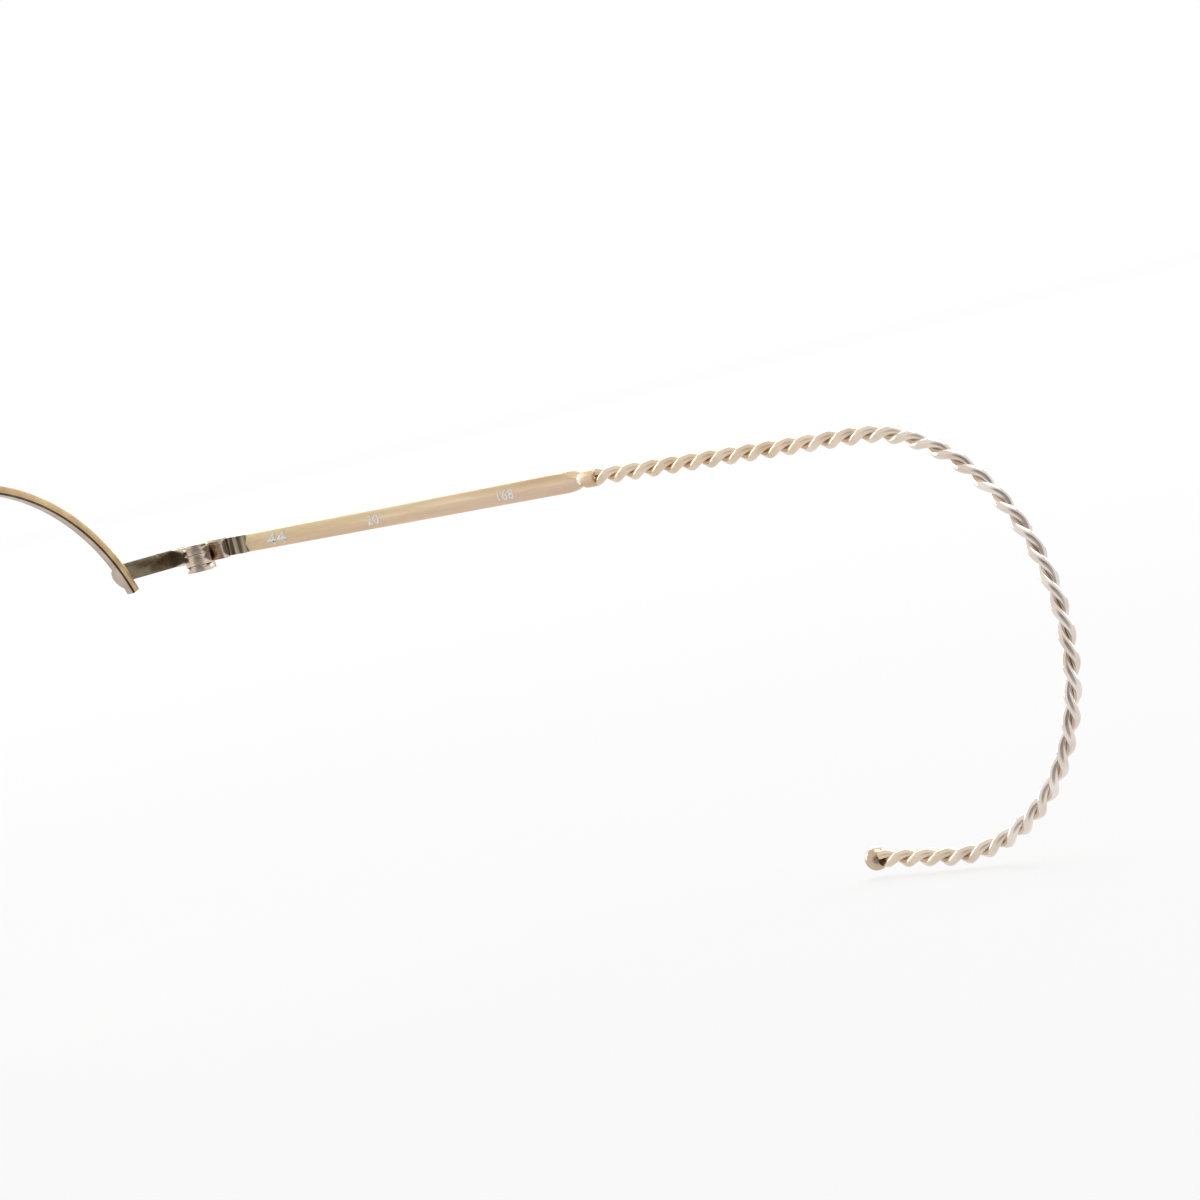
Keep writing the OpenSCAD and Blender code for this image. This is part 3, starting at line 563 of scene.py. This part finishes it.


# ---------------------------------------------------------------- pieces

# The temple leaf's block behind the hinge takes the dark gold with painted reflection bands
leaf_end = {"rear": "banded_reflection_gold", "rear_from": hinge.y + LEAF_L}
for side_name in SIDES:
    for draw in (cable, ferrule, ball, rim, nose_pad, temple_bar):
        draw(side_name)
    temple = side_name + "_temple"
    for node, name, body, slot, material, width, more in (
            ("endpiece", "strap", "frame", "dark_gold", "dark_gold", 0.16, {"segments": 3}),
            ("stop_lug", "lug", "frame", "satin_gold", "rim_inner", 0.08, {}),
            ("front_leaf", "front_knuckle", "frame", "dark_gold", "hinge_gold", 0.08, {}),
            ("temple_leaf", "temple_knuckles", temple, "dark_gold", "hinge_gold", 0.1, leaf_end),
            ("hinge_screw", "slotted_screw", temple, "screw_steel", "screw_steel", 0.07, {}),
            ("ring", "lens_ring", "flip_front", "satin_gold", "rim_gold", 0.05, {}),
            ("ring_block", "closing_block", "flip_front", "dark_gold", "dark_gold", 0.12, {}),
            ("ring_screw", "closing_screw", "flip_front", "screw_steel", "screw_steel", 0.06, {}),
            ("pad_arm", "pad_wire", "frame", "satin_gold", "rim_gold", 0.05, {}),
            ("pad_screw", "pad_bolt", "frame", "screw_steel", "screw_steel", 0.05, {})):
        softened(f"{side_name}_{node}", f"{side_name}_{name}", body, slot, material, width, **more)

softened("flip_bracket", "flip_ears", "frame", "dark_gold", "dark_gold", 0.12)
softened("flip_knuckle", "flip_arm", "flip_front", "dark_gold", "dark_gold", 0.1)
softened("flip_pin", "flip_rivet", "frame", "screw_steel", "screw_steel", 0.08)

size_mark("lens_size", "44", from_hinge=9.2, height=1.25, wide=1.7)
size_mark("bridge_size", "20", from_hinge=25.5, height=0.95, wide=1.4)
size_mark("temple_size", "168", from_hinge=45.5, height=1.0, wide=1.2)

# CAD nodes whose shape is right as it is
for material, nodes in {"rim_gold": ("bridge", "top_bar", "flip_bar"),
                        "screw_steel": ("flip_spring", "left_pad_core", "right_pad_core"),
                        "lens_glass": ("left_lens", "right_lens")}.items():
    for node in nodes:
        mesh = frame["nodes"][node].data
        mesh.materials.clear()
        mesh.materials.append(MATERIALS[material])


# ---------------------------------------------------------------- light from floor and room

FLOOR_HALF = 15.0
FLOOR_DROP = 0.0005             # keeps the floor just clear of the curls
FLOOR_LIT = 0.2                 # how much lamplight, and so how deep a shadow, the seen floor takes
FLOOR_BOUNCE = 0.9              # what the floor sends back on to the object
GLOW_NEAR, GLOW_FAR = 0.76, 0.908   # strength of the floor's own glow
GLOW_FROM, GLOW_TO = 0.6, 1.8   # and the distances between which it rises
WORLD_LIGHT = 0.46
DIM_SIDE = Vector((0.67, 0.74, -0.12)).normalized()     # a little below the camera's side
DIM_STOPS = ((0.55, grey(1.0)), (0.94, grey(0.3)))      # over the cosine of the angle from it


def rays(nt, *kinds):
    """1 for rays of any of these kinds."""
    path = add(nt, "LightPath", {})
    value = path.outputs[kinds[0]]
    for kind in kinds[1:]:
        value = add(nt, "Math", {0: value, 1: path.outputs[kind]}, operation="MAXIMUM").outputs[0]
    return value


def either(nt, fac, a, b):
    """The shader a where fac is 0, and b where it is 1."""
    return add(nt, "MixShader", {0: fac, 1: a.outputs[0], 2: b.outputs[0]})


def dimmed(nt, direction, sign=1):
    """The room's lightness along a direction: 1, but low round DIM_SIDE."""
    facing = add(nt, "VectorMath", {0: direction, 1: sign * DIM_SIDE}, operation="DOT_PRODUCT")
    return ramp(nt, facing.outputs["Value"], DIM_STOPS, "EASE")


# The floor glows, so that it is as white as the photograph's ground, and still shows a shadow.
# Metal sees the same dim side in it as in the room, and all other rays meet a plain pale floor
nt = new_material("pale_floor")
ground = add(nt, "TexCoord", {})
distance = add(nt, "VectorMath", {0: ground.outputs["Object"]}, operation="LENGTH")
glow_level = remap(nt, distance.outputs["Value"], GLOW_FROM, GLOW_TO, GLOW_NEAR, GLOW_FAR,
                   interpolation_type="SMOOTHSTEP")
ray = add(nt, "NewGeometry", {})
glow_colour = blended(nt, rays(nt, "Is Glossy Ray"), grey(1),
                      dimmed(nt, ray.outputs["Incoming"], sign=-1))
glow = add(nt, "Emission", {"Color": glow_colour, "Strength": glow_level})
lit = add(nt, "BsdfDiffuse", {"Color": grey(FLOOR_LIT)})
seen = add(nt, "AddShader", {0: lit.outputs[0], 1: glow.outputs[0]})
plain = add(nt, "BsdfDiffuse", {"Color": grey(FLOOR_BOUNCE)})
by_sight = rays(nt, "Is Camera Ray", "Is Glossy Ray", "Is Transmission Ray")
add(nt, "OutputMaterial", {"Surface": either(nt, by_sight, plain, seen).outputs[0]})

bm = bmesh.new()
for x, y in ((-1, -1), (1, -1), (1, 1), (-1, 1)):
    bm.verts.new((x * FLOOR_HALF, y * FLOOR_HALF, 0))
bm.faces.new(bm.verts)
floor_mesh = bpy.data.meshes.new("floor")
bm.to_mesh(floor_mesh)
bm.free()
floor_mesh.materials.append(MATERIALS["pale_floor"])
floor = bpy.data.objects.new("floor", floor_mesh)
floor.location.z = -FLOOR_DROP
bpy.context.scene.collection.objects.link(floor)

# The world is white, as the far floor is, to the camera and through glass, a room with a dim side
# to metal, and a plain soft light to all else
world = bpy.data.worlds.new("studio")
bpy.context.scene.world = world
world.use_nodes = True
nt = world.node_tree
nt.nodes.clear()
white = add(nt, "Background", {"Color": grey(1), "Strength": GLOW_FAR + FLOOR_LIT * WORLD_LIGHT})
soft = add(nt, "Background", {"Color": grey(1), "Strength": WORLD_LIGHT})
where = add(nt, "TexCoord", {})
room = add(nt, "Background", {"Color": dimmed(nt, where.outputs["Generated"])})
to_eye = either(nt, rays(nt, "Is Camera Ray", "Is Transmission Ray"), soft, white)
to_metal = either(nt, rays(nt, "Is Glossy Ray"), to_eye, room)
add(nt, "OutputWorld", {"Surface": to_metal.outputs[0]})


def softbox(name, position, size, watts):
    """A square area lamp that looks at the middle of the object."""
    middle = Vector((0, 0, 0.03))
    lamp = bpy.data.lights.new(name, "AREA")
    lamp.size = size
    lamp.energy = watts
    holder = bpy.data.objects.new(name, lamp)
    holder.location = position
    holder.rotation_mode = "QUATERNION"
    holder.rotation_quaternion = (middle - holder.location).to_track_quat("-Z", "Y")
    bpy.context.scene.collection.objects.link(holder)


softbox("top_box", (-0.25, 0.2, 0.95), size=0.7, watts=3.0)
softbox("back_box", (-0.75, -0.75, 0.7), size=0.8, watts=4.5)
softbox("front_panel", (0.05, -1.1, 0.3), size=0.8, watts=4.0)
softbox("right_panel", (-1.1, 0.05, 0.3), size=0.8, watts=4.0)


# ---------------------------------------------------------------- camera

# Half a metre away at the height of the temples, turned as the photograph is
AZIMUTH, ELEVATION, ROLL = math.radians(138.24), math.radians(4.06), math.radians(-13.70)
TARGET = Vector((-70.29, 15.12, 28.04))
DISTANCE = 500.0
PX_PER_MM = 10.158              # of an image IMAGE_PX wide, at the target
IMAGE_PX = 1200
SENSOR_W = 36.0
back = Vector((math.sin(AZIMUTH) * math.cos(ELEVATION), -math.cos(AZIMUTH) * math.cos(ELEVATION),
               math.sin(ELEVATION)))
level = Vector((math.cos(AZIMUTH), math.sin(AZIMUTH), 0))
upright = back.cross(level)
right_way = math.cos(ROLL) * level + math.sin(ROLL) * upright
up_way = back.cross(right_way)
camera_data = bpy.data.cameras.new("camera")
camera_data.sensor_width = SENSOR_W
camera_data.lens = PX_PER_MM * DISTANCE * SENSOR_W / IMAGE_PX
camera_data.clip_start, camera_data.clip_end = 0.05, 60.0
camera = bpy.data.objects.new("camera", camera_data)
place = Matrix((right_way, up_way, back)).transposed().to_4x4()
place.translation = (TARGET + DISTANCE * back) * MM
camera.matrix_world = place
bpy.context.scene.collection.objects.link(camera)
bpy.context.scene.camera = camera

bpy.context.scene.view_settings.view_transform = "Standard"
